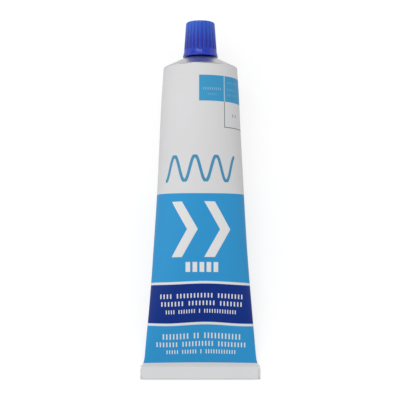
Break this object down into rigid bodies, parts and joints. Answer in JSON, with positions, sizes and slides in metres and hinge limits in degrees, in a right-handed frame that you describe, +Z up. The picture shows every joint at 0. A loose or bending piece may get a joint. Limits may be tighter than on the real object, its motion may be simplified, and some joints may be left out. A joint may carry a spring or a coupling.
{
  "type": "caulk tube",
  "caption": "Full collapsible aluminium squeeze tube of sealant with a folded end and a ribbed screw cap, lying on its back.",
  "frame": {"origin": "on the ground, under the middle of the whole length", "axes": "+Y along the tube from the folded end to the cap, +Z up, +X to the right of the printed face seen with the cap at the top"},
  "size_m": [0.056, 0.168, 0.0348],
  "materials": {
    "enamelled_aluminium": "satin white enamel with printed blue bands over thin aluminium, bare metal on the shoulder and neck",
    "blue_plastic": "moulded blue polyethylene, semi-gloss"
  },
  "bodies": {
    "tube": {"tube": "enamelled_aluminium"},
    "cap": {"cap": "blue_plastic"}
  },
  "joints": [
    {"name": "cap_off", "type": "slide", "parent": "tube", "child": "cap", "axis": [0, 0.993, 0.1183], "range_m": [0, 0.025]}
  ]
}
